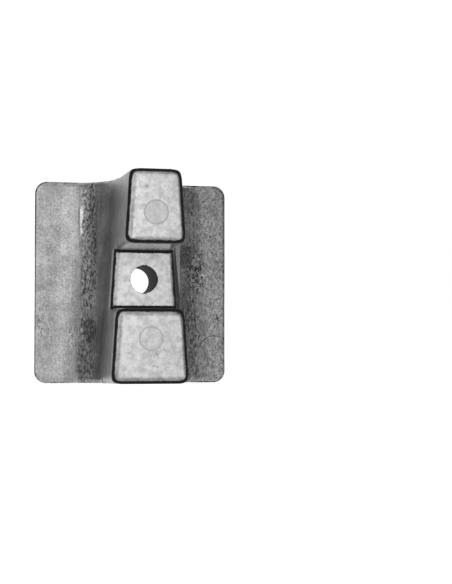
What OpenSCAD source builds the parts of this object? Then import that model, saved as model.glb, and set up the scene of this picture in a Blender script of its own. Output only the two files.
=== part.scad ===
// Bolt-on sacrificial anode, one aluminium casting: a thin rectangular flange, and on it a
// C-shaped block with a long upper post and a short lower post. The origin is on the bolt's
// axis at the flange's flat face. X runs across, Z up, and the posts point along -Y.

/* [Flange] */
// Height of the flange, from its bottom edge to its top edge
flange_h = 84; // [76:1:96]
// Width of the flange
flange_w = 81; // [76:1:92]
// Thickness of the flange
flange_t = 2.2; // [2:0.1:3]
// Radius of the flange's four corners, seen from the front
corner_r = 5; // [3:0.5:8]
// Rounding of the flange's rim, on both faces
rim_r = 0.9; // [0.4:0.1:1]

/* [Block] */
// Width of the block at the height of the flange's top edge
block_top_w = 20.2; // [16:0.2:24]
// Width of the block at the height of the flange's bottom edge
block_bottom_w = 31; // [26:0.2:34]
// Length of the upper, long post, from the flat face to its tip
long_post = 60.5; // [54:0.5:66]
// Length of the lower, short post, from the flat face to its tip
short_post = 49.5; // [44:0.5:53]
// Distance from the flat face to the web between the posts
web_depth = 33.5; // [28:0.5:38]
// Radius of the large concave blends between the block's sides and the flange
blend_r = 20; // [14:0.5:22]
// Draft of the block's top and bottom ends, in degrees
end_draft = 0.8; // [0.5:0.1:3]
// Rounding of the edges of the posts' tips
edge_r = 1.8; // [1:0.1:2.2]
// Rounding of the edges that run from the tips to the flange and the web
long_edge_r = 2.3; // [1:0.1:2.6]
// Rounding of the web's two upright edges
web_edge_r = 1.6; // [0.6:0.1:1.6]

/* [Slot] */
// Height of the slot between the posts, at the web
slot_h = 23; // [20:0.2:26]
// Draft of the slot's upper and lower faces, in degrees
slot_draft = 1.9; // [0.5:0.1:3]
// Fillet in the slot's two inner corners
slot_r = 1; // [0.5:0.1:2]

/* [Bolt hole] */
// Diameter of the hole for the bolt
bolt_d = 11; // [9:0.5:13]
// Diameter of the recess for the bolt's head
recess_d = 24.4; // [22:0.2:27]
// Depth of the recess, from the flat face to the seat of the bolt's head
recess_depth = 12; // [8:0.5:15]
// Diameter of the recess at its mouth
mouth_d = 25; // [23:0.2:28]
// Depth of the recess's wider mouth
mouth_depth = 2.7; // [1:0.1:4]

/* [Hidden] */
half_h = flange_h/2;
taper = atan((block_bottom_w - block_top_w)/2/flange_h);
mid_half_w = (block_top_w + block_bottom_w)/4;
// How deep the blends run under the flange's inner face, so that the two surfaces cross
sink = 0.05;
// How far a cutter stands clear of what it cuts
margin = 1;
// Longer than anything in the part
reach = 2*long_post;
// Distance from the flat face to the line where a blend leaves the block's side
blend_d = flange_t + blend_r - sink;
// Angles between which a blend's edge is rounded: 0 at the flange, 90 at the block's side, and
// a little past it, to meet the rounding of the long edge
fade = 5;
lap = 93;
fillet_steps = 6;

// Half the block's width at a height, and the heights of its end and of the slot at a depth
function half_w(z) = mid_half_w - z*tan(taper);
function end_z(d) = half_h - d*tan(end_draft);
function slot_z(d) = slot_h/2 + (d - web_depth)*tan(slot_draft);
// Outward normals of the block's side, of an end and of a face of the slot
function side_n(side) = [side*cos(taper), 0, sin(taper)];
function end_n(up) = [0, -sin(end_draft), up*cos(end_draft)];
function slot_n(up) = [0, -sin(slot_draft), -up*cos(slot_draft)];
tip_n = [0, -1, 0];
// The point at a height and depth on the edge of one side
function on_side(side, d, z) = [side*half_w(z), -d, z];

function arc(c, r, a0, a1, n) =
    [for (i = [0:n]) let (a = a0 + (a1 - a0)*i/n) c + r*[cos(a), sin(a)]];

// Half of the flange's section, with its rounded rim
module rim(w) {
    translate([0, -flange_t]) square([w - rim_r, flange_t]);
    translate([0, rim_r - flange_t]) square([w, flange_t - 2*rim_r]);
    for (y = [-rim_r, rim_r - flange_t]) translate([w - rim_r, y]) circle(rim_r, $fn = 32);
}

module flange() {
    in_x = flange_w/2 - corner_r;
    in_z = half_h - corner_r;
    for (x = [-in_x, in_x], z = [-in_z, in_z])
        translate([x, 0, z]) rotate([-90, 0, 0]) rotate_extrude($fn = 64) rim(corner_r);
    linear_extrude(2*in_z, center = true)
        for (side = [0, 1]) mirror([side, 0]) rim(flange_w/2);
    rotate([90, 0, 90]) linear_extrude(2*in_x, center = true)
        for (side = [0, 1]) mirror([0, side]) mirror([1, 0]) rotate(90) rim(half_h);
}

// The block seen from its side: distance from the flat face, then height
module c_shape() {
    root = flange_t/2;
    mid = web_depth + slot_r;
    polygon(concat(
        [[root, end_z(root)], [long_post, end_z(long_post)], [long_post, slot_z(long_post)]],
        arc([mid, slot_z(mid) - slot_r], slot_r, 90, 180, fillet_steps),
        arc([mid, slot_r - slot_z(mid)], slot_r, 180, 270, fillet_steps),
        [[short_post, -slot_z(short_post)], [short_post, -end_z(short_post)],
         [root, -end_z(root)]]));
}

// Cuts the block to its tapered side and the large concave blend beside it
module side_cut(side) {
    mirror([side < 0 ? 1 : 0, 0, 0])
    translate([mid_half_w, sink - flange_t, 0]) rotate([0, -taper, 0])
    linear_extrude(2*reach, center = true) {
        polygon([[blend_r, 0], [reach, 0], [reach, -reach], [0, -reach], [0, -blend_r],
                 [blend_r, -blend_r]]);
        translate([blend_r, -blend_r]) circle(blend_r, $fn = 128);
    }
}

// Rounds the straight edge from a to b between two faces with the normals n1 and n2
module round_edge(a, b, n1, n2, r) {
    turn = acos(n1*n2);
    across = (n2 - (n1*n2)*n1)/sin(turn);
    along = cross(n1, across);
    mid = (a + b)/2;
    corner = [1, tan(turn/2)];
    multmatrix([for (i = [0:2]) [n1[i], across[i], along[i], mid[i]]])
    linear_extrude(norm(b - a), center = true) difference() {
        polygon([-r*corner, [r + margin, 0] - r*corner, margin*corner,
                 (r + margin)*[cos(turn), sin(turn)] - r*corner]);
        translate(-r*corner) circle(r, $fn = 48);
    }
}

// Rounds the curved edge between one blend and one end of the block
module round_blend(up, side) {
    z = up*end_z(blend_d);
    run = (z - blend_r*sin(taper))/cos(taper);
    x = side*(mid_half_w + blend_r*cos(taper) - run*sin(taper));
    translate([x, -blend_d, z])
    mirror([side < 0 ? 1 : 0, 0, 0]) mirror([0, 0, up < 0 ? 1 : 0])
    rotate([end_draft, 0, 90]) rotate([0, 0, fade])
    rotate_extrude(angle = lap - fade, $fn = 96) difference() {
        translate([blend_r - margin, sink - long_edge_r]) square(long_edge_r + margin);
        translate([blend_r + long_edge_r - sink, sink - long_edge_r]) circle(long_edge_r, $fn = 48);
    }
}

// Rounds the tip and the long edges of one post: up is 1 for the upper and -1 for the lower
module round_post(up, tip) {
    over = edge_r + margin;
    past = blend_d + margin;
    for (z = [up*end_z(tip), up*slot_z(tip)]) {
        w = half_w(z) + over;
        n = z == up*end_z(tip) ? end_n(up) : slot_n(up);
        round_edge([-w, -tip, z], [w, -tip, z], n, tip_n, edge_r);
    }
    for (side = [-1, 1]) {
        round_edge(on_side(side, tip, up*(end_z(tip) + over)),
                   on_side(side, tip, up*(slot_z(tip) - over)), side_n(side), tip_n, edge_r);
        round_edge(on_side(side, tip + over, up*end_z(tip + over)),
                   on_side(side, past, up*end_z(past)), side_n(side), end_n(up), long_edge_r);
        round_edge(on_side(side, tip + over, up*slot_z(tip + over)),
                   on_side(side, web_depth, up*slot_z(web_depth)), side_n(side), slot_n(up), long_edge_r);
    }
}

module round_web() {
    z = slot_z(web_depth);
    for (side = [-1, 1])
        round_edge(on_side(side, web_depth, z), on_side(side, web_depth, -z),
                   side_n(side), tip_n, web_edge_r);
}

module block() {
    difference() {
        rotate([90, 0, -90]) linear_extrude(flange_w - 2*corner_r, center = true) c_shape();
        for (side = [-1, 1]) side_cut(side);
        round_post(1, long_post);
        round_post(-1, short_post);
        round_web();
        for (up = [-1, 1], side = [-1, 1]) round_blend(up, side);
    }
}

// A round hole from the flat face into the part
module hole(d, depth) {
    rotate([90, 0, 0]) translate([0, 0, -margin]) cylinder(d = d, h = depth + margin, $fn = 96);
}

module anode() {
    color("silver") difference() {
        union() {
            flange();
            block();
        }
        hole(bolt_d, web_depth + margin);
        hole(recess_d, recess_depth);
        hole(mouth_d, mouth_depth);
    }
}

anode();
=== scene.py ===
# %% [markdown]
# Bolt-on sacrificial anode.
# The real object is one aluminium casting: a thin flange with a C-shaped block grown out of it. Its
# CAD model has the true sizes, so it is loaded first, as a fixed frame that nothing here moves.
# Everything below is in metres, in that frame.

# %% Load the frame
import math
import bmesh
import bpy
import numpy as np
from mathutils import Matrix, Vector


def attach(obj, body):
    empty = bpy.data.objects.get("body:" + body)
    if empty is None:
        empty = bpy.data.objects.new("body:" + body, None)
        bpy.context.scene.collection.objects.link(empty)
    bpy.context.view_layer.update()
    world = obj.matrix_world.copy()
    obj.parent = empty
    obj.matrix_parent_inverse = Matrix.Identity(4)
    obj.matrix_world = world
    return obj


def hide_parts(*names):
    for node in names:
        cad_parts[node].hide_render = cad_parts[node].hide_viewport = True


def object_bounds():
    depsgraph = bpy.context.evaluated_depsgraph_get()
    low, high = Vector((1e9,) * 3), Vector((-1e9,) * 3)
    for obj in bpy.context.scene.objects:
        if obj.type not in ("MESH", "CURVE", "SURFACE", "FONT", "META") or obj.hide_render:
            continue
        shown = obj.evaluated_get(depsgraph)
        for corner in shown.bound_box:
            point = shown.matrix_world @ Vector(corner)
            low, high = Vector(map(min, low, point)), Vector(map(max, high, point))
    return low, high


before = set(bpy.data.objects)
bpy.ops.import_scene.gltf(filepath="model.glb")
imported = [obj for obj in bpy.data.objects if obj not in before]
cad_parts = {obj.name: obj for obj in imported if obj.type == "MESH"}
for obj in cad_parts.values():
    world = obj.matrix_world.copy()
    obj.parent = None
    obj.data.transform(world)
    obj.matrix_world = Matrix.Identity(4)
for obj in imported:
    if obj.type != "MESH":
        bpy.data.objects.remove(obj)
scene = bpy.context.scene
scene.view_settings.view_transform = "Standard"
MM = 0.001
cad_low, cad_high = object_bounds()
print("CAD box in mm:", [round(v / MM, 2) for v in (*cad_low, *cad_high)])

# %% [markdown]
# The photograph was taken a little from the left and from just below the middle of the casting. A
# camera could be placed by eye, but this one was solved from the flange's corners and the posts'
# edges, so that the render can be laid over the photograph. It is aimed past the casting, as the
# photograph is, so it needs no lens shift.

# %% Camera
EYE = [v * MM for v in (-90.707, -565.385, -27.513)]
RIGHT = Vector((0.97377, -0.22756, -0.00014)).normalized()
FORWARD = Vector((0.22736, 0.97292, 0.04166)).normalized()
UP = RIGHT.cross(FORWARD).normalized()
LENS, SENSOR = 83.37, 36.0

camera_data = bpy.data.cameras.new("camera")
camera_data.sensor_width = SENSOR
camera_data.lens = LENS
camera_data.clip_start, camera_data.clip_end = 0.01, 50.0
camera = bpy.data.objects.new("camera", camera_data)
scene.collection.objects.link(camera)
axes = [(RIGHT[i], UP[i], -FORWARD[i], EYE[i]) for i in range(3)]
camera.matrix_world = Matrix((*axes, (0, 0, 0, 1)))
scene.camera = camera
print("camera is", round(camera.location.length / MM), "mm from the bolt hole")

# %% [markdown]
# Two small helpers carry every material in this file. Colours are written as the hex values that a
# colour picker shows, and one function turns them to linear light, which is what a node takes. The
# other adds a node with its settings, values and links, so that a material reads as a short list.

# %% Colour and node helpers
def linear(hex_colour):
    """The linear colour of an sRGB hex value"""
    parts = [int(hex_colour[i:i + 2], 16) / 255 for i in (1, 3, 5)]
    return [p / 12.92 if p <= 0.04045 else ((p + 0.055) / 1.055) ** 2.4 for p in parts] + [1.0]


def add(tree, kind, values=(), **settings):
    """Add a node. Values and links come in the order of its sockets, or by their name or number"""
    node = tree.nodes.new(kind)
    for name, value in settings.items():
        setattr(node, name, value)
    for key, value in values.items() if isinstance(values, dict) else enumerate(values):
        if isinstance(value, bpy.types.NodeSocket):
            tree.links.new(value, node.inputs[key])
        else:
            node.inputs[key].default_value = value
    return node


print("mid grey in linear light:", round(linear("#808080")[0], 3))

# %% [markdown]
# The set is a sheet of white paper that runs under the casting and up behind it. A plane for the
# floor and one for the wall would show a line where they meet, so the sheet is bent instead.

# %% Paper sweep
PAPER_HALF_WIDE, PAPER_FRONT, PAPER_NEAR = 3.0, -3.0, -1.0
PAPER_BACK, PAPER_BEND, PAPER_TALL = 1.6, 0.7, 2.6
BEND_STEP = 7.5


def paper_sweep():
    """A sheet that runs level under the casting, bends up behind it and ends as a wall"""
    outline = [(PAPER_FRONT, 0.0), (PAPER_NEAR, 0.0), (PAPER_BACK - PAPER_BEND, 0.0)]
    for a in np.radians(np.arange(BEND_STEP, 90.1, BEND_STEP)):
        outline += [(PAPER_BACK - PAPER_BEND + PAPER_BEND * math.sin(a),
                     PAPER_BEND - PAPER_BEND * math.cos(a))]
    outline += [(PAPER_BACK, PAPER_TALL)]
    verts = [(x, y, cad_low.z + z) for y, z in outline for x in (-PAPER_HALF_WIDE, PAPER_HALF_WIDE)]
    faces = [(2 * i, 2 * i + 1, 2 * i + 3, 2 * i + 2) for i in range(len(outline) - 1)]
    mesh = bpy.data.meshes.new("paper")
    mesh.from_pydata(verts, [], faces)
    mesh.shade_smooth()
    paper = bpy.data.objects.new("paper", mesh)
    scene.collection.objects.link(paper)
    return paper


paper = paper_sweep()
print("paper made with", len(paper.data.polygons), "faces")

# %% [markdown]
# White paper in a studio is lit until it is white. More light would also bleach the casting, so the
# paper has a glow of its own instead, for rays that look straight at it or that the metal mirrors.
# The glow and the soft boxes together make it white, and it still darkens where the casting's
# shadow falls.

# %% White studio paper
PAPER_GLOW = 0.86


def background_rays(tree):
    """1 for the rays that see a background: the camera's, mirrored ones and those through glass"""
    rays = add(tree, "ShaderNodeLightPath").outputs
    seen = rays["Is Camera Ray"]
    for kind in ("Is Glossy Ray", "Is Transmission Ray"):
        seen = add(tree, "ShaderNodeMath", (seen, rays[kind]), operation="MAXIMUM").outputs[0]
    return seen


paper_material = bpy.data.materials.new("white_studio_paper")
paper_material.use_nodes = True
tree = paper_material.node_tree
tree.nodes.clear()
glow = add(tree, "ShaderNodeMath", (background_rays(tree), PAPER_GLOW), operation="MULTIPLY")
matt = add(tree, "ShaderNodeBsdfDiffuse", {"Color": linear("#F2F2F2")})
lit = add(tree, "ShaderNodeEmission", {"Strength": glow.outputs[0]})
both = add(tree, "ShaderNodeAddShader", (matt.outputs[0], lit.outputs[0]))
add(tree, "ShaderNodeOutputMaterial", {"Surface": both.outputs[0]})
paper.data.materials.append(paper_material)
print(paper_material.name, "has", len(tree.nodes), "nodes")

# %% [markdown]
# One broad soft box stands round the camera. Cast metal shows what it faces, so the flat faces
# return the soft box while the rounded edges and the hollow blends turn away from it and go dark,
# which is what the photograph shows. Small lamps would put bright spots on the metal instead. A
# weaker one behind the casting lights its flat face. The room is white where rays see it as a
# background and dim for the rest.

# %% Lights
ROOM_DIM, ROOM_WHITE = 0.17, 1.0
SOFT_BOXES = [
    # name, azimuth, elevation, distance, width, height, radiance
    ("front_soft_box", -18, 2, 0.9, 1.04, 0.66, 1.1),
    ("back_soft_box", 160, 25, 1.2, 0.8, 0.8, 1.0),
]


def soft_box(name, azimuth, elevation, distance, width, height, radiance):
    """A flat light at this direction and distance, in degrees and metres, turned to the casting"""
    data = bpy.data.lights.new(name, "AREA")
    data.shape = "RECTANGLE"
    data.size, data.size_y = width, height
    data.energy = radiance * math.pi * width * height
    lamp = bpy.data.objects.new(name, data)
    a, e = math.radians(azimuth), math.radians(elevation)
    out = Vector((math.sin(a) * math.cos(e), -math.cos(a) * math.cos(e), math.sin(e)))
    lamp.location = out * distance
    lamp.rotation_mode = "QUATERNION"
    lamp.rotation_quaternion = out.to_track_quat("Z", "Y")
    scene.collection.objects.link(lamp)


for box in SOFT_BOXES:
    soft_box(*box)
world = bpy.data.worlds.new("studio")
world.use_nodes = True
tree = world.node_tree
tree.nodes.clear()
room = add(tree, "ShaderNodeMapRange", {
    "Value": background_rays(tree), "To Min": ROOM_DIM, "To Max": ROOM_WHITE}).outputs[0]
room = add(tree, "ShaderNodeBackground", {"Color": (1, 1, 1, 1), "Strength": room})
add(tree, "ShaderNodeOutputWorld", {"Surface": room.outputs[0]})
scene.world = world

# %% [markdown]
# Bright metal needs something dark to mirror, or it looks flat. A photographer stands black cards,
# called flags, just out of the picture, one on each side. Here they are bent strips round the
# casting. Only reflections see them, so they neither hide the casting nor shade the floor.

# %% Flags
FLAG_AWAY, FLAG_TALL, FLAG_STRIPS = 0.5, 0.75, 19
FLAG_SHEEN = 0.27
card_material = bpy.data.materials.new("black_flag_card")
card_material.use_nodes = True
tree = card_material.node_tree
tree.nodes.clear()
sheen = add(tree, "ShaderNodeEmission", {"Strength": FLAG_SHEEN})
add(tree, "ShaderNodeOutputMaterial", {"Surface": sheen.outputs[0]})


def flag(name, first, last):
    """A bent card that stands between two azimuths"""
    turns = np.radians(np.linspace(first, last, FLAG_STRIPS + 1))
    verts = [(FLAG_AWAY * math.sin(t), -FLAG_AWAY * math.cos(t), z)
             for t in turns for z in (cad_low.z, FLAG_TALL)]
    faces = [(2 * i, 2 * i + 2, 2 * i + 3, 2 * i + 1) for i in range(FLAG_STRIPS)]
    mesh = bpy.data.meshes.new(name)
    mesh.from_pydata(verts, [], faces)
    mesh.materials.append(card_material)
    card = bpy.data.objects.new(name, mesh)
    scene.collection.objects.link(card)
    for rays in ("camera", "diffuse", "shadow", "transmission"):
        setattr(card, "visible_" + rays, False)
    return card


flags = [flag("left_flag", -49, -128), flag("right_flag", 13, 112)]
print("flags:", [f.name for f in flags])

# %% [markdown]
# The rest of the file speaks in millimetres on the casting: x across, z up and depth out of the
# flat face. The sizes are the CAD model's: two are read off its box, and the others repeat what its
# source says. The posts' edges lean by about a degree, so a middle value stands for them. The block
# is wider at the bottom than at the top, so its half width is worked out from those two widths.

# %% Places on the casting
HALF_HEIGHT = round(cad_high.z / MM, 1)
BLOCK_TOP, BLOCK_BOTTOM = 20.2, 31.0
# how far each stands out from the flat face
LONG_POST = round(-cad_low.y / MM, 1)
SHORT_POST, WEB, FLANGE = 49.5, 33.5, 2.2
# how far out the blends end, and where the posts' own marks begin
BLEND_ENDS, POSTS_FROM = 27, 28
# heights above and below the middle: the web's ends and the inner and outer edges of the posts
SLOT, POST_INNER, POST_OUTER = 11.5, 12.0, 41.4
# radii round the bolt's axis, and how deep the recess and its mouth are
BOLT, RECESS, MOUTH = 5.5, 12.2, 12.5
RECESS_DEPTH, MOUTH_DEPTH = 12.0, 2.7


def half_width(z):
    """Half of the block's width at this height"""
    return (BLOCK_TOP + BLOCK_BOTTOM) / 4 - z * (BLOCK_BOTTOM - BLOCK_TOP) / (4 * HALF_HEIGHT)


def smooth(low, high, value):
    """0 at low and 1 at high, with a soft start and end"""
    t = np.clip((value - low) / (high - low), 0, 1)
    return t * t * (3 - 2 * t)


print("half height", HALF_HEIGHT, "long post", LONG_POST, "half width at the web", half_width(0))

# %% [markdown]
# On the real casting the bolt hole and its recess are cut round one axis. Here they are filled, cut
# and measured along it. One function turns what modifiers show into a plain mesh, and one adds a
# round bar to a shape or takes it away. A boolean modifier does that exactly, with crisp rims.

# %% Bars on the bolt's axis
BAR_SIDES = 96


def plain_mesh(obj, name):
    """The object's shape with its modifiers applied, as a mesh of its own"""
    bpy.context.view_layer.update()
    shown = obj.evaluated_get(bpy.context.evaluated_depsgraph_get())
    made = bpy.data.meshes.new_from_object(shown)
    obj.modifiers.clear()
    obj.data = made
    made.name = name
    made.shade_smooth()
    return made


def with_bar(obj, operation, radius, first, last):
    """Add a round bar of this radius between two depths, or take it away"""
    shape = bmesh.new()
    place = Matrix.Translation((0, -(first + last) / 2 * MM, 0))
    place = place @ Matrix.Rotation(math.pi / 2, 4, "X")
    bmesh.ops.create_cone(shape, cap_ends=True, segments=BAR_SIDES, radius1=radius * MM,
                          radius2=radius * MM, depth=(last - first) * MM, matrix=place)
    bar = bpy.data.objects.new("bar", bpy.data.meshes.new("bar"))
    shape.to_mesh(bar.data)
    shape.free()
    scene.collection.objects.link(bar)
    step = obj.modifiers.new("bar", "BOOLEAN")
    step.operation, step.solver, step.object = operation, "EXACT", bar
    plain_mesh(obj, obj.name)
    bpy.data.objects.remove(bar)


print("bars have", BAR_SIDES, "sides")

# %% [markdown]
# The casting's skin starts as a copy of the CAD solid, whose sizes are right. The marks of casting
# need points to hold them, and the solid has few, so the copy is rebuilt as an even net of small
# squares and laid back on the CAD surface. Such a net nibbles the rims of holes. So the holes are
# filled first and drilled afterwards, as they would be in a workshop.

# %% Even skin over the CAD solid
NET = 0.56 * MM
SAME_POINT = 1e-6
PLUG_OVER, PLUG_FROM, DRILL_PAST = 1, 5, 3

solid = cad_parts["anode"]
cast = bpy.data.objects.new("cast", solid.data.copy())
scene.collection.objects.link(cast)
with_bar(cast, "UNION", BOLT + PLUG_OVER, PLUG_FROM, WEB)
with_bar(cast, "UNION", MOUTH + PLUG_OVER, 0, RECESS_DEPTH + PLUG_OVER)


def even_skin(source):
    """An even net laid on the source's surface"""
    mesh = source.data.copy()
    mesh.materials.clear()
    skin = bpy.data.objects.new("anode_casting", mesh)
    scene.collection.objects.link(skin)
    skin.modifiers.new("weld", "WELD").merge_threshold = SAME_POINT
    net = skin.modifiers.new("net", "REMESH")
    net.mode = "VOXEL"
    net.voxel_size = NET
    lay = skin.modifiers.new("lay", "SHRINKWRAP")
    lay.target = source
    lay.wrap_method = "NEAREST_SURFACEPOINT"
    plain_mesh(skin, "anode_casting")
    return skin


skin = even_skin(cast)
bpy.data.objects.remove(cast)
with_bar(skin, "DIFFERENCE", BOLT, RECESS_DEPTH - PLUG_OVER, WEB + DRILL_PAST)
with_bar(skin, "DIFFERENCE", RECESS, -DRILL_PAST, RECESS_DEPTH)
with_bar(skin, "DIFFERENCE", MOUTH, -DRILL_PAST, MOUTH_DEPTH)
print("skin has", len(skin.data.vertices), "points,", len(skin.data.polygons), "faces")

# %% [markdown]
# Marks could be painted on an unwrapped picture of the surface, but they belong to places on the
# casting. So they are placed by where a point lies and which way it faces, and both are read here.

# %% Points of the skin
def points(obj):
    """Across, depth and height of the object's points in mm, and the ways they face"""
    place, normal = (np.empty(len(obj.data.vertices) * 3) for _ in range(2))
    obj.data.vertices.foreach_get("co", place)
    obj.data.vertices.foreach_get("normal", normal)
    x, y, z = place.reshape(-1, 3).T / MM
    return x, -y, z, normal.reshape(-1, 3)


x, depth, z, normal = points(skin)
print("depth runs from", round(depth.min(), 2), "to", round(depth.max(), 2), "mm")

# %% [markdown]
# On the real casting the posts' long edges are rounder and less even than a plain rounding makes
# them, because the pattern was rubbed down by hand. A bevel would be even all along. So each point
# near such an edge is moved to the middle of its neighbours a few times, as rubbing does.

# %% Rub the posts' long edges round
RUBS = 10
RUB_WIDTH = 4.2


def rub(obj, share, times):
    """Move each point its share of the way to the middle of its neighbours, a number of times"""
    mesh = obj.data
    edge = np.empty(len(mesh.edges) * 2, dtype=np.int32)
    mesh.edges.foreach_get("vertices", edge)
    a, b = edge.reshape(-1, 2).T
    place = np.empty(len(mesh.vertices) * 3)
    mesh.vertices.foreach_get("co", place)
    place = place.reshape(-1, 3)
    count = np.bincount(a, minlength=len(place)) + np.bincount(b, minlength=len(place))
    for _ in range(times):
        total = np.stack([
            np.bincount(a, place[b, i], len(place)) + np.bincount(b, place[a, i], len(place))
            for i in range(3)], axis=1)
        place = place + share[:, None] * (total / count[:, None] - place)
    mesh.vertices.foreach_set("co", place.ravel())
    mesh.update()


near = np.full(len(x), np.inf)
for end in (1, -1):
    for edge_z, start in ((end * POST_OUTER, BLEND_ENDS), (end * POST_INNER, WEB + 3)):
        away = np.hypot(np.abs(x) - half_width(edge_z), z - edge_z)
        near = np.minimum(near, np.where(depth > start, away, np.inf))
rubbed = smooth(RUB_WIDTH, RUB_WIDTH / 2, near)
rub(skin, rubbed, RUBS)
print("rubbed", int((rubbed > 0).sum()), "points")

# %% [markdown]
# A flat pad stands on the blend beside the web. It is upright while the blend leans, so the blend
# swallows it towards its lower end and it shows as a long wedge. Cutting that wedge to shape would
# be hard. A whole block with rounded edges, set into the metal, gives it by itself.

# %% Raised pad beside the web
PAD_TOP, PAD_BOTTOM = 17.0, -9.0
PAD_WIDE, PAD_THICK = 5.2, 3.0
PAD_EDGE_X, PAD_EDGE_DEPTH = 19.97, 7.22
PAD_TURN = 69.0
PAD_ROUND = 0.3


def add_pad(obj):
    """Join a block with rounded outer edges to the object"""
    shape = bmesh.new()
    bmesh.ops.create_cube(shape, size=1)
    size = [v * MM for v in (PAD_THICK, PAD_WIDE, PAD_TOP - PAD_BOTTOM)]
    bmesh.ops.scale(shape, vec=size, verts=shape.verts)
    rims = [e for e in shape.edges if all(v.co.x > 0 for v in e.verts)]
    bmesh.ops.bevel(shape, geom=rims, offset=PAD_ROUND * MM, segments=3, profile=0.5,
                    affect="EDGES")
    turn = math.radians(PAD_TURN)
    out = Vector((math.cos(turn), -math.sin(turn), 0))
    along = Vector((math.sin(turn), math.cos(turn), 0))
    centre = Vector((PAD_EDGE_X, -PAD_EDGE_DEPTH, (PAD_TOP + PAD_BOTTOM) / 2))
    centre -= out * PAD_THICK / 2 + along * PAD_WIDE / 2
    place = Matrix.Translation(centre * MM) @ Matrix.Rotation(-turn, 4, "Z")
    bmesh.ops.transform(shape, matrix=place, verts=shape.verts)
    pad = bpy.data.meshes.new("pad")
    shape.to_mesh(pad)
    shape.clear()
    shape.from_mesh(obj.data)
    shape.from_mesh(pad)
    shape.to_mesh(obj.data)
    shape.free()
    obj.data.shade_smooth()


count = len(skin.data.vertices)
add_pad(skin)
x, depth, z, normal = points(skin)
pad = np.arange(len(x)) >= count
print("pad added", int(pad.sum()), "points")

# %% [markdown]
# What sits at one place on the casting is stored on its points as plain numbers from 0 to 1, which
# the finish reads by name. That keeps a mark at its place, whatever happens to the net later. The
# posts' tips, the web and the long post's underside came off smooth steel, and the holes were cut
# clean, so they are pale.

# %% Pale faces
# how squarely a face looks to the front or down, first where it starts to count, then fully
TO_FRONT, DOWNWARD = (0.9, 0.985), (0.85, 0.97)
TOUCH = 0.01


def store(obj, name, values):
    """Keep one number from 0 to 1 for each point under this name"""
    layer = obj.data.attributes.new(name, "FLOAT", "POINT")
    layer.data.foreach_set("value", np.clip(values, 0, 1).astype(np.float32))
    print(name, "covers", round(float((values > 0.5).mean()) * 100, 1), "% of the points")


facing = normal[:, 1] * -1
height = np.abs(z)
radius = np.hypot(x, z)
on_tip_face = smooth(*TO_FRONT, facing) * smooth(POSTS_FROM, POSTS_FROM + 3, depth)
under_post = smooth(*DOWNWARD, -normal[:, 2]) * (z > 0) * (depth > WEB + 1)
in_recess = (radius < MOUTH + TOUCH) & (depth < RECESS_DEPTH + TOUCH) & ~pad
in_hole = (radius < BOLT + TOUCH) | in_recess
store(skin, "pale", np.maximum.reduce([on_tip_face, under_post, in_hole]))

# %% [markdown]
# Oxide gathers where nothing rubs it off: on the rounded edges of the tips and the web, in the
# corners beside the web and along the lower corner of the long post. The same dark colour is also
# painted shade there, since these edges and corners turn away from the light. Lines painted along
# the edges would look drawn. So it is found by how far a point has turned from the front and how
# near it is to the edge. On the left the light shows more of each rounded edge, so there the oxide
# and painted shade start further round.

# %% Dark oxide and painted shade on the posts and the web
# how squarely a point still faces the front where oxide and painted shade start, and how softly
START_LEFT, START_RIGHT, START_SOFT = 0.968, 0.998, 0.08
# distances in mm from an edge, first where a band ends and then where it is full
TIP_BAND, WEB_BAND, SIDE_BAND, SIDE_DEEP = (2.3, 1.6), (1.9, 1.3), (1.1, 0.6), (3, 2.2)
CREASE_BAND = (1.35, 0.7)

left = normal[:, 0] < -0.1
turned = smooth(0.0, -START_SOFT, facing - np.where(left, START_LEFT, START_RIGHT))
turned = turned * np.where(left, smooth(0.2, 0.45, facing), 1)
tip = np.where(z > 0, LONG_POST, SHORT_POST)
on_post = height > SLOT - 1
on_web = (height < SLOT + 0.6) & (depth < WEB + 0.4)
tip_edge = turned * smooth(tip - TIP_BAND[0], tip - TIP_BAND[1], depth) * on_post
web_edge = turned * smooth(WEB - WEB_BAND[0], WEB - WEB_BAND[1], depth) * on_web
web_side = smooth(*SIDE_BAND, half_width(z) - x)
web_side = web_side * smooth(WEB - SIDE_DEEP[0], WEB - SIDE_DEEP[1], depth) * on_web
crease = smooth(*CREASE_BAND, np.hypot(depth - WEB, height - SLOT))
crease = crease * smooth(0.6, 1.4, half_width(z) - np.abs(x))
under = smooth(0.2, 0.5, normal[:, 0]) * smooth(0.1, 0.35, -normal[:, 2])
under = under * (depth > WEB + 0.5) * (z > 0)
# the oxide and painted shade of the posts and the web, in one mask
oxide_and_shade = np.maximum.reduce([tip_edge, web_edge, web_side, crease, under])
print("oxide lies on", int((oxide_and_shade > 0.5).sum()), "points of the posts and the web")

# %% [markdown]
# The flange's rim is dark all round: partly oxide, since it is seldom rubbed, and partly painted
# shade, since it turns away from the light. The painted shade is darkest on the right and at the
# upper left corner. An outline of even strength would look like ink, so the strength follows how
# far the rim has turned.

# %% Dark oxide and painted shade on the flange's rim
RIM_OXIDE_AND_SHADE, RIM_RIGHT_SHADE, RIM_CORNER_SHADE = 0.44, 0.45, 0.3

rim = smooth(0.97, 0.75, facing) * (radius > MOUTH + 1.5)
rim = rim * smooth(FLANGE + 0.1, FLANGE - 0.2, depth) * smooth(0.1, 0.5, depth)
# painted shade: the rim is darker on the right and at the upper left corner
rim_shade = np.maximum(RIM_RIGHT_SHADE * (x > 18), RIM_CORNER_SHADE * smooth(-20, -34, x) * smooth(10, 34, z))
rim = rim * (RIM_OXIDE_AND_SHADE + rim_shade * smooth(0.05, 0.3, facing))
# the rim's oxide and painted shade join those of the posts and the web
store(skin, "oxide_and_shade", np.maximum(oxide_and_shade, rim) * ~pad)

# %% [markdown]
# The flange and blends carry rough, stained and pitted places where the metal met the mould's
# coating. Each is an oval on the front, given by its middle, its half sizes and its strength, which
# is easier to move than a painted mask. The long rough one beside the block has straight sides.

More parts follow.
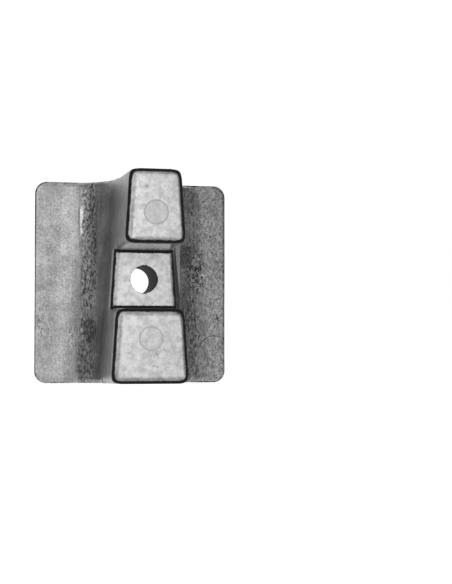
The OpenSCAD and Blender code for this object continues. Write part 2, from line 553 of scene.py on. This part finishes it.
# %% Rough and pitted places
ROUGH = [
    # x, z, half width, half height, strength
    (-19.4, -20.5, 3.0, 8, 1.0),
    (-20.2, -33, 3.4, 12, 0.8),
    (-24.5, -23, 2.6, 5, 0.5),
    (-36.5, -17, 4.0, 7, 0.35),
    (27.6, 4, 4.6, 8.5, 1.0),
    (24.5, 35, 3.0, 7, 0.5),
    (24.5, -24, 4.6, 24, 0.8),
    (31, 0, 13, 55, 0.4),
]
# the straight-sided one: where each side starts and where it is full
BAND_LEFT, BAND_RIGHT, BAND_FOOT = (-21.9, -21.3), (-15.6, -16.6), (-14, -9)
BAND_STRENGTH = 0.9
PITS_ANYWHERE, PITS_ON_RIGHT = 0.25, 0.3
PITTED = [
    # x, z, half width, half height, strength, where it ends and where it is full
    (26, 8, 5, 10, 0.45, 1.4, 0.6),
    (-37, -18, 4, 9, 0.3, 1.4, 0.4),
]


def ovals(spots):
    """How deep each point lies in the strongest of these ovals, from 0 to its strength"""
    total = np.zeros(len(x))
    for sx, sz, half_w, half_h, strength in spots:
        away = ((x - sx) / half_w) ** 2 + ((z - sz) / half_h) ** 2
        total = np.maximum(total, strength * smooth(1.5, 0.5, away))
    return total * off_posts


off_posts = smooth(POSTS_FROM, POSTS_FROM - 4, depth) * ~pad
outer = smooth(0.15, 0.4, facing)
band = BAND_STRENGTH * smooth(*BAND_LEFT, x) * smooth(*BAND_RIGHT, x) * smooth(*BAND_FOOT, z)
store(skin, "rough_cast", np.maximum(ovals(ROUGH), band) * outer)
pits = PITS_ANYWHERE + PITS_ON_RIGHT * smooth(14, 20, x)
for sx, sz, half_w, half_h, strength, ends, full in PITTED:
    pits = pits + strength * smooth(ends, full, np.hypot((x - sx) / half_w, (z - sz) / half_h))
store(skin, "pits", pits * outer * off_posts)

# %% [markdown]
# Grime is the grey film that handling leaves. On the flange and blends it lies in large soft
# patches. The same patches also paint shade where the blends and the flange turn from the light,
# such as the dark strip between the web and the pad. One noise all over would be simpler, but it
# would put them in the wrong places, so they are ovals too, and the finish makes their edges ragged
# later.

# %% Patches of grime and painted shade
GRIME_AND_SHADE = [
    # x, z, half width, half height, strength
    (-18.6, -20, 2.6, 5.5, 0.95),
    (-19.4, -34, 4.2, 15, 0.62),
    (-14.5, -30, 3.2, 18, 0.62),
    (22.8, 11.5, 3.6, 5.6, 0.7),
    (24, -20, 4.8, 24, 0.6),
    (24, -40, 6, 8, 0.6),
    (30, 40, 16, 14, 0.5),
    (25, 28, 3.4, 18, 0.1),
    (-34, -12, 16, 44, 0.34),
    (34, 2, 13, 48, 0.4),
    # painted shade: the dark strip between the web and the pad
    (18.3, -1, 1.7, 18, 1.0),
    (-26, 41, 14, 3, 0.4),
    (-17, 28, 1.6, 22, 0.5),
]

# patches of grime and of painted shade
patches = ovals(GRIME_AND_SHADE) * smooth(0.0, 0.2, facing)
print("grime lies on", round(float((patches > 0.1).mean()) * 100), "% of the points")

# %% [markdown]
# The same film has crept a few millimetres in from the edges of the tips and from the web's left
# edge, where it is also painted shade that carries the dark edges softly inwards. A faint scratch
# runs down the short post's tip. Both follow edges, so they are measured from the edges. They are
# stored with the patches, since the finish colours them alike.

# %% Film and painted shade inside the edges, and the scratch
FILM_AND_SHADE, SCRATCH = 0.75, 0.6
# distances in mm inside an edge, first where the film and shade end and then where they are full
TIP_FILM_SHADE, WEB_FILM_SHADE, THINNER_ON_RIGHT = (3.8, 2.0), (3.4, 1.4), 0.7
SCRATCH_INSET, SCRATCH_WIDE = 2.6, (0.7, 0.1)
SCRATCH_TOP, SCRATCH_FOOT = (-12, -15), (-37, -32)

side_inset = half_width(z) - np.abs(x)
tip_inset = np.minimum(side_inset, np.minimum(POST_OUTER - height, height - POST_INNER))
on_right = (x > 0) * (tip_inset > half_width(z) - x - TOUCH)
# painted shade: the film inside the tips' and the web's edges
film_and_shade = smooth(*TIP_FILM_SHADE, tip_inset + THINNER_ON_RIGHT * on_right)
film_and_shade = film_and_shade * (depth > tip - 1.5) * on_post
web_film_and_shade = smooth(*WEB_FILM_SHADE, half_width(z) + x) * (depth > WEB - 1.2) * on_web
film_and_shade = FILM_AND_SHADE * np.maximum(film_and_shade, web_film_and_shade) * (facing > 0.5)
scratch = SCRATCH * smooth(*SCRATCH_WIDE, np.abs(half_width(z) + x - SCRATCH_INSET))
scratch = scratch * smooth(*SCRATCH_TOP, z) * smooth(*SCRATCH_FOOT, z)
scratch = scratch * (facing > 0.9) * (depth > SHORT_POST - 1)
store(skin, "grime_and_shade", np.maximum.reduce([patches, scratch, film_and_shade]))

# %% [markdown]
# Flash is the thin fin of metal that creeps between the two halves of a mould. What is left of it
# stands in lines along the block's side and at one place on the flange. It is real metal, so the
# points are lifted there. The same lines are marked for a painted highlight, as are a line on the
# short post's side, which is not lifted, and the long post's underside.

# %% Flash lines and painted highlights
RIDGE_X, RIDGE_Z = -21.9, 25.5
RIDGE_HIGH, WEB_FLASH_HIGH = 0.14, 0.3
# how far the lines lie behind the web's front and the short post's tip
WEB_FLASH_BEHIND, POST_HIGHLIGHT_BEHIND = 2.6, 3
# how strong the painted highlight is on the short post's side, the ridge and the underside
POST_PAINTED_GLINT, RIDGE_PAINTED_GLINT, UNDER_PAINTED_LIGHT = 0.35, 0.85, 0.5

side = smooth(0.8, 0.95, -normal[:, 0])
web_flash_and_highlight = side * smooth(1.0, 0.3, np.abs(depth - WEB + WEB_FLASH_BEHIND)) * (height < SLOT + 1)
post_highlight = side * smooth(1.4, 0.6, np.abs(depth - SHORT_POST + POST_HIGHLIGHT_BEHIND))
post_highlight = POST_PAINTED_GLINT * post_highlight * (z < -SLOT - 2)
ridge = smooth(0.65, 0.1, np.abs(x - RIDGE_X)) * smooth(7, 4, np.abs(z - RIDGE_Z)) * (facing > 0.3)
# painted highlight: the fin lines, the short post's side and the long post's underside
store(skin, "flash_and_highlight", np.maximum.reduce([
    web_flash_and_highlight, post_highlight, RIDGE_PAINTED_GLINT * ridge, UNDER_PAINTED_LIGHT * under_post]))
store(skin, "pad", 1.0 * pad)
lift = (RIDGE_HIGH * ridge + WEB_FLASH_HIGH * web_flash_and_highlight)[:, None] * normal
skin.data.vertices.foreach_set("co", ((np.stack([x, -depth, z], axis=1) + lift) * MM).ravel())
skin.data.update()
print("flash stands up to", round(float(np.abs(lift).max()), 2), "mm proud")

# %% [markdown]
# Molten metal leaves shallow waves where it froze against the mould, and a fine grain. A bump in
# the finish would shade them but leave every outline perfectly even. So a small node tree moves the
# points themselves by a noise. It moves them inwards and never outwards, so the casting keeps its
# size. The smooth pale faces are left nearly flat.

# %% Cast relief
SIZES = {"Wave size": 7 * MM, "Wave height": 0.1 * MM, "Grain size": 1.5 * MM,
         "Grain height": 0.05 * MM, "Seed": 5.0}
PALE_SHARE = 0.15
UPRIGHT_WAVES = (1, 1, 0.25)


def relief_tree():
    """Nodes that push every point inwards by two noises and give the casting its metal"""
    tree = bpy.data.node_groups.new("cast_relief", "GeometryNodeTree")
    tree.interface.new_socket("Casting", in_out="INPUT", socket_type="NodeSocketGeometry")
    for name, value in SIZES.items():
        socket = tree.interface.new_socket(name, in_out="INPUT", socket_type="NodeSocketFloat")
        socket.default_value = value
    tree.interface.new_socket("Metal", in_out="INPUT", socket_type="NodeSocketMaterial")
    tree.interface.new_socket("Casting", in_out="OUTPUT", socket_type="NodeSocketGeometry")
    given = add(tree, "NodeGroupInput").outputs
    spot = add(tree, "GeometryNodeInputPosition").outputs[0]
    long_spot = add(tree, "ShaderNodeVectorMath", (spot, UPRIGHT_WAVES),
                    operation="MULTIPLY").outputs[0]
    depths = []
    for name, where in (("Wave", long_spot), ("Grain", spot)):
        scale = add(tree, "ShaderNodeMath", (1.0, given[name + " size"]), operation="DIVIDE")
        field = add(tree, "ShaderNodeTexNoise", {
            "Vector": where, "W": given["Seed"], "Scale": scale.outputs[0]},
            noise_dimensions="4D").outputs["Fac"]
        deep = add(tree, "ShaderNodeMath", (field, given[name + " height"]), operation="MULTIPLY")
        depths.append(deep.outputs[0])
    pale, rough = (
        add(tree, "GeometryNodeInputNamedAttribute", {"Name": name}, data_type="FLOAT").outputs[0]
        for name in ("pale", "rough_cast"))
    grain = add(tree, "ShaderNodeMath", (depths[1], rough), operation="MULTIPLY").outputs[0]
    both = add(tree, "ShaderNodeMath", (depths[0], grain), operation="ADD").outputs[0]
    kept = add(tree, "ShaderNodeMapRange", {
        "Value": pale, "To Min": -1.0, "To Max": -PALE_SHARE}).outputs[0]
    inward = add(tree, "ShaderNodeMath", (both, kept), operation="MULTIPLY").outputs[0]
    way = add(tree, "GeometryNodeInputNormal").outputs[0]
    move = add(tree, "ShaderNodeVectorMath", {0: way, "Scale": inward}, operation="SCALE")
    moved = add(tree, "GeometryNodeSetPosition", {
        "Geometry": given["Casting"], "Offset": move.outputs[0]}).outputs[0]
    single = add(tree, "GeometryNodeRealizeInstances", {"Geometry": moved}).outputs[0]
    done = add(tree, "GeometryNodeSetMaterial", {
        "Geometry": single, "Material": given["Metal"]}).outputs[0]
    add(tree, "NodeGroupOutput", {"Casting": done})
    return tree


relief = relief_tree()
print("relief tree has", len(relief.nodes), "nodes")

# %% [markdown]
# The metal is aluminium as it left the mould: bare, dull and a little uneven, with no coat. Its
# tones come from noises of several sizes, read on the object's own coordinates, and from the
# numbers stored on its points. Metal grain and pits of about 0.2 mm are drawn at 0.5 to 0.6 mm, so
# that they show in the render. Two patterns lean or run along the casting, as the real ones do.

# %% Patterns of the as-cast aluminium
PATTERNS = {
    # name: size in mm, detail, roughness, lean in degrees, stretch
    "cloud": (7, 5, 0.65, 0, 1),
    "grain": (0.6, 3, 0.7, 0, 1),  # drawn coarser than the real 0.2 mm, so that it shows
    "speck": (0.5, 1, 0.5, 0, 1),  # drawn coarser than the real 0.2 mm, so that it shows
    "mottle": (1.0, 4, 0.8, -35, 0.6),
    "ragged": (1.4, 4, 0.75, 0, 1),
    "streak": (1.3, 2, 0.5, 0, 0.03),
    "blotch": (2.2, 4, 0.7, 0, 1),
    "smudge": (2.4, 3, 0.6, 0, 1),
    "nibble": (1.2, 3, 0.7, 0, 1),
}

metal = bpy.data.materials.new("as_cast_aluminium")
metal.use_nodes = True
tree = metal.node_tree
tree.nodes.clear()
spot = add(tree, "ShaderNodeTexCoord").outputs["Object"]
place = add(tree, "ShaderNodeSeparateXYZ", (spot,)).outputs
read = {"out": place["Y"], "up": place["Z"]}
for name in ("pale", "oxide_and_shade", "rough_cast", "grime_and_shade", "pits", "flash_and_highlight", "pad"):
    read[name] = add(tree, "ShaderNodeAttribute", attribute_name=name).outputs["Fac"]
for name, (size, detail, roughness, lean, stretch) in PATTERNS.items():
    where = spot
    if stretch != 1:
        turn = (0, math.radians(lean), 0)
        where = add(tree, "ShaderNodeMapping", {
            "Vector": spot, "Rotation": turn, "Scale": (1, 1, stretch)}).outputs[0]
    read[name] = add(tree, "ShaderNodeTexNoise", {
        "Vector": where, "Scale": 1 / (size * MM), "Detail": detail,
        "Roughness": roughness}).outputs["Fac"]
print("the finish reads", ", ".join(read))

# %% [markdown]
# A noise is a soft grey cloud until its contrast is raised. Map Range nodes do that: each turns a
# range of one pattern, mark or place into a share from one value to another, with soft ends.

# %% Contrast of the patterns
SOFT = {"interpolation_type": "SMOOTHSTEP"}
SHARES = {
    # name: what is read, its low and high, the share at the low and at the high
    "cloudy": ("cloud", 0.3, 0.7, 0, 1),
    "grainy": ("grain", 0.3, 0.7, 0, 1),
    "spotted": ("mottle", 0.38, 0.64, 0, 1),
    "pit_limit": ("pits", 0, 1, 0.24, 0.44),
    "stain_and_shade": ("grime_and_shade", 0, 0.3, 0, 1),
    "drawn": ("streak", 0.6, 0.4, 0, 1),
    "off_flange": ("out", -4 * MM, -2.5 * MM, 1, 0.2),
    "blotchy": ("blotch", 0.3, 0.7, 0, 1),
    "smudged": ("smudge", 0.6, 0.74, 0, 0.5),
    "worn": ("blotch", 0.3, 0.6, 0.4, 1),
    "front": ("out", -1.5 * MM, -1 * MM, 1, 0),
    "uneven": ("nibble", 0.3, 0.7, -0.22, 0.22),
    "highlight_speckle": ("speck", 0.35, 0.5, 0.35, 1),
}

share = {}
for name, (source, *numbers) in SHARES.items():
    share[name] = add(tree, "ShaderNodeMapRange", (read[source], *numbers), **SOFT).outputs[0]
print("made", len(share), "shares")

# %% [markdown]
# The colour is laid on in thin layers, each over what is already there, as stains lie on metal. At
# the bottom is the bare metal, two greys in clouds, darkened by the grain. The rough places are a
# mottle of dark and light, and the pits are the specks that lie under a limit, which is higher
# where there are more of them.

# %% Bare metal, rough places and pits
COLOUR = {"data_type": "RGBA"}
PIT_EDGE = (-0.01, 0.03)

tone = add(tree, "ShaderNodeMix", {
    0: share["cloudy"], 6: linear("#AAAAAA"), 7: linear("#C6C6C6")}, **COLOUR).outputs[2]
grain_shade = add(tree, "ShaderNodeMix", {
    0: share["grainy"], 6: linear("#C0C0C0"), 7: linear("#FFFFFF")}, **COLOUR).outputs[2]
tone = add(tree, "ShaderNodeMix", {
    0: 1.0, 6: tone, 7: grain_shade}, blend_type="MULTIPLY", **COLOUR).outputs[2]
rough_spots = add(tree, "ShaderNodeMix", {
    0: share["spotted"], 6: linear("#3A3A3A"), 7: linear("#DCDCDC")}, **COLOUR).outputs[2]
tone = add(tree, "ShaderNodeMix", {
    0: read["rough_cast"], 6: tone, 7: rough_spots}, **COLOUR).outputs[2]
pit = add(tree, "ShaderNodeMath", (share["pit_limit"], read["speck"]), operation="SUBTRACT")
pit = add(tree, "ShaderNodeMapRange", (pit.outputs[0], *PIT_EDGE), **SOFT).outputs[0]
tone = add(tree, "ShaderNodeMix", {0: pit, 6: tone, 7: linear("#2C2C2C")}, **COLOUR).outputs[2]
print("three layers take", len(tree.nodes), "nodes so far")

# %% [markdown]
# Where the casting slid out of the mould, faint streaks run down its sides. The pale faces have
# blotches and smudges of their own. Grime and painted shade lie over all of it, and a noise makes
# their edge ragged. The pad stayed clean.

# %% Streaks, pale faces, grime and painted shade
GRIME_SHADE_STARTS, GRIME_SHADE_FULL, GRIME_SHADE_MOST = 0.65, 1.45, 0.62

drawn = add(tree, "ShaderNodeMath", (share["drawn"], share["off_flange"]),
            operation="MULTIPLY").outputs[0]
darker = add(tree, "ShaderNodeMix", {
    0: 1.0, 6: tone, 7: linear("#E6E6E6")}, blend_type="MULTIPLY", **COLOUR).outputs[2]
tone = add(tree, "ShaderNodeMix", {0: drawn, 6: tone, 7: darker}, **COLOUR).outputs[2]
smooth_face = add(tree, "ShaderNodeMix", {
    0: share["blotchy"], 6: linear("#A6A6A6"), 7: linear("#CACACA")}, **COLOUR).outputs[2]
smooth_face = add(tree, "ShaderNodeMix", {
    0: share["smudged"], 6: smooth_face, 7: linear("#7C7C7C")}, **COLOUR).outputs[2]
tone = add(tree, "ShaderNodeMix", {0: read["pale"], 6: tone, 7: smooth_face}, **COLOUR).outputs[2]
# the stored grime and painted shade, with a ragged edge, laid on as dark grey
ragged = add(tree, "ShaderNodeMath", (read["ragged"], read["grime_and_shade"]), operation="ADD").outputs[0]
ragged = add(tree, "ShaderNodeMapRange", (
    ragged, GRIME_SHADE_STARTS, GRIME_SHADE_FULL, 0.0, GRIME_SHADE_MOST), **SOFT).outputs[0]
ragged = add(tree, "ShaderNodeMath", (ragged, share["stain_and_shade"]), operation="MULTIPLY").outputs[0]
tone = add(tree, "ShaderNodeMix", {0: ragged, 6: tone, 7: linear("#343434")}, **COLOUR).outputs[2]
pad_tone = add(tree, "ShaderNodeMix", {
    0: share["grainy"], 6: linear("#C4C4C4"), 7: linear("#F0F0F0")}, **COLOUR).outputs[2]
tone = add(tree, "ShaderNodeMix", {0: read["pad"], 6: tone, 7: pad_tone}, **COLOUR).outputs[2]
print("seven layers take", len(tree.nodes), "nodes so far")

# %% [markdown]
# Round pins push the casting out of its mould and leave a shallow ring on each post's tip. Part of
# one more faint ring lies on the flange, and there are two dark dots. The mesh's points are too far
# apart for such thin lines, so each is drawn by its distance from a point, and stays crisp. A dot
# is a ring with no radius.

# %% Ejector rings
ALL_ROUND = -99
RINGS = [
    # x, z, radius, line, strength of the line and of the disc inside it, height where it starts
    (0.2, 24.3, 4.5, 0.62, 0.50, 0.20, ALL_ROUND),
    (0.2, -23.7, 4.5, 0.66, 0.42, 0.07, ALL_ROUND),
    (35.8, -29.6, 7.4, 0.60, 0.80, 0.0, -27),
    (-3.5, 34.1, 0.0, 1.1, 0.8, 0.0, ALL_ROUND),
    (37.2, -14.6, 0.0, 1.1, 1.9, 0.0, ALL_ROUND),
]
DISC_EDGE, START_LOW, START_HIGH = 0.4, 4, 3
FLAT = (1, 0, 1)

groove = 0.0
for ring_x, ring_z, radius, line, strength, inside, start in RINGS:
    middle = (ring_x * MM, 0, ring_z * MM)
    away = add(tree, "ShaderNodeVectorMath", (spot, middle), operation="SUBTRACT").outputs[0]
    away = add(tree, "ShaderNodeVectorMath", (away, FLAT), operation="MULTIPLY").outputs[0]
    away = add(tree, "ShaderNodeVectorMath", (away,), operation="LENGTH").outputs["Value"]
    away = add(tree, "ShaderNodeMath", (away, radius * MM), operation="SUBTRACT").outputs[0]
    disc = add(tree, "ShaderNodeMapRange", (
        away, -DISC_EDGE * MM, 0.0, inside, 0.0), **SOFT).outputs[0]
    away = add(tree, "ShaderNodeMath", (away,), operation="ABSOLUTE").outputs[0]
    ring = add(tree, "ShaderNodeMapRange", (away, 0.0, line * MM, strength, 0.0), **SOFT).outputs[0]
    ring = add(tree, "ShaderNodeMath", (ring, disc), operation="MAXIMUM").outputs[0]
    above = add(tree, "ShaderNodeMapRange", (
        read["up"], (start - START_LOW) * MM, (start + START_HIGH) * MM), **SOFT).outputs[0]
    ring = add(tree, "ShaderNodeMath", (ring, above), operation="MULTIPLY").outputs[0]
    groove = add(tree, "ShaderNodeMath", (groove, ring), operation="ADD").outputs[0]
for limit in ("worn", "front"):
    groove = add(tree, "ShaderNodeMath", (groove, share[limit]), operation="MULTIPLY").outputs[0]
tone = add(tree, "ShaderNodeMix", {0: groove, 6: tone, 7: linear("#4A4A4A")}, **COLOUR).outputs[2]
print("drew", len(RINGS), "rings and dots")

# %% [markdown]
# The oxide and painted shade come next. A noise is added to them before their contrast is raised,
# which makes their edge uneven. The wall of the bolt hole is painted dark all over, and darker, as
# painted shade, since little light gets in. Last comes the painted highlight, a near-white tone on
# the fin lines and the long post's underside.

# %% Oxide, painted shade and painted highlights
OXIDE_SHADE_STARTS, OXIDE_SHADE_FULL = 0.22, 0.78
BORE_SHADE_IN, BORE_SHADE_OUT = BOLT + 0.02, BOLT + 0.12

oxide_and_shade = add(tree, "ShaderNodeMath", (read["oxide_and_shade"], share["uneven"]), operation="ADD").outputs[0]
oxide_and_shade = add(tree, "ShaderNodeMapRange", (oxide_and_shade, OXIDE_SHADE_STARTS, OXIDE_SHADE_FULL), **SOFT).outputs[0]
centre = add(tree, "ShaderNodeVectorMath", (spot, FLAT), operation="MULTIPLY").outputs[0]
centre = add(tree, "ShaderNodeVectorMath", (centre,), operation="LENGTH").outputs["Value"]
# painted shade: the wall of the bolt hole, near black all over
bore_shade = add(tree, "ShaderNodeMapRange", (
    centre, BORE_SHADE_IN * MM, BORE_SHADE_OUT * MM, 1.0, 0.0), **SOFT).outputs[0]
oxide_and_shade = add(tree, "ShaderNodeMath", (oxide_and_shade, bore_shade), operation="MAXIMUM").outputs[0]
# oxide and painted shade are dark grey, and near black in the bolt hole
oxide_and_shade_tone = add(tree, "ShaderNodeMix", {
    0: bore_shade, 6: linear("#2E2E2E"), 7: linear("#101010")}, **COLOUR).outputs[2]
tone = add(tree, "ShaderNodeMix", {0: oxide_and_shade, 6: tone, 7: oxide_and_shade_tone}, **COLOUR).outputs[2]
# painted highlight: a near-white tone where the highlight mark lies
painted_glint = add(tree, "ShaderNodeMath", (read["flash_and_highlight"], share["highlight_speckle"]),
            operation="MULTIPLY").outputs[0]
tone = add(tree, "ShaderNodeMix", {0: painted_glint, 6: tone, 7: linear("#F4F4F4")}, **COLOUR).outputs[2]
print("the colour takes", len(tree.nodes), "nodes")

# %% [markdown]
# The shader takes all of it. A metal's own colour sets how bright its reflection is, and it keeps
# the default IOR. As-cast aluminium is dull, at a roughness of about 0.4, and the smooth faces are
# less so. The oxide is no metal, and nor is the painted shade laid with it, so the metallic value
# falls where they lie, and they are rougher. Each row of the table below changes one of these by
# what lies on the metal.

# %% Shader
METAL_ROUGH, PALE_ROUGH = 0.42, 0.30
BUMP_DEEP, BUMP_STRENGTH = 0.06, 0.6
OXIDE_SPECULAR = 0.15
CHANGES = [
    # what changes, what lies there, how much it changes
    ("Roughness", oxide_and_shade, "ADD", 0.35),
    ("Roughness", painted_glint, "SUBTRACT", 0.2),
    ("Metallic", painted_glint, "SUBTRACT", 0.6),
    ("Metallic", read["pad"], "SUBTRACT", 0.9),
]

rough = add(tree, "ShaderNodeMapRange", (read["pale"], 0, 1, METAL_ROUGH, PALE_ROUGH), **SOFT)
bare = add(tree, "ShaderNodeMapRange", (oxide_and_shade, 0, 1, 1.0, 0.0), **SOFT)
finish = {"Roughness": rough.outputs[0], "Metallic": bare.outputs[0]}
for name, there, operation, most in CHANGES:
    amount = add(tree, "ShaderNodeMapRange", (there, 0, 1, 0.0, most), **SOFT).outputs[0]
    changed = add(tree, "ShaderNodeMath", (finish[name], amount), operation=operation)
    finish[name] = changed.outputs[0]
tall = add(tree, "ShaderNodeMath", (read["grain"], read["cloud"]), operation="ADD").outputs[0]
tall = add(tree, "ShaderNodeMath", (tall, groove), operation="SUBTRACT").outputs[0]
bump = add(tree, "ShaderNodeBump", {
    "Height": tall, "Distance": BUMP_DEEP * MM, "Strength": BUMP_STRENGTH}).outputs[0]
shader = add(tree, "ShaderNodeBsdfPrincipled", {
    "Base Color": tone, "Normal": bump, "Specular IOR Level": OXIDE_SPECULAR, **finish})
add(tree, "ShaderNodeOutputMaterial", {"Surface": shader.outputs[0]})
print(metal.name, "has", len(tree.nodes), "nodes")

# %% [markdown]
# Now the relief is laid on the skin. The modifier's input for the metal is set by its identifier,
# before the skin is first evaluated, and the result becomes a plain mesh with the modifier gone.
# Edges that turn by more than an angle stay sharp, which keeps the drilled rims crisp.

# %% Lay the relief on the casting
SHARP_ANGLE = 55

skin.data.materials.clear()
live = skin.modifiers.new("cast_relief", "NODES")
live.node_group = relief
inputs = {s.name: s.identifier for s in relief.interface.items_tree if s.in_out == "INPUT"}
live[inputs["Metal"]] = metal
made = plain_mesh(skin, "anode_casting")
made.set_sharp_from_angle(angle=math.radians(SHARP_ANGLE))
print("casting has", len(made.polygons), "faces and the finishes", [m.name for m in made.materials])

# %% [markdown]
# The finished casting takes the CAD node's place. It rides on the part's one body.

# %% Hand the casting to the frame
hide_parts("anode")
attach(skin, "root")
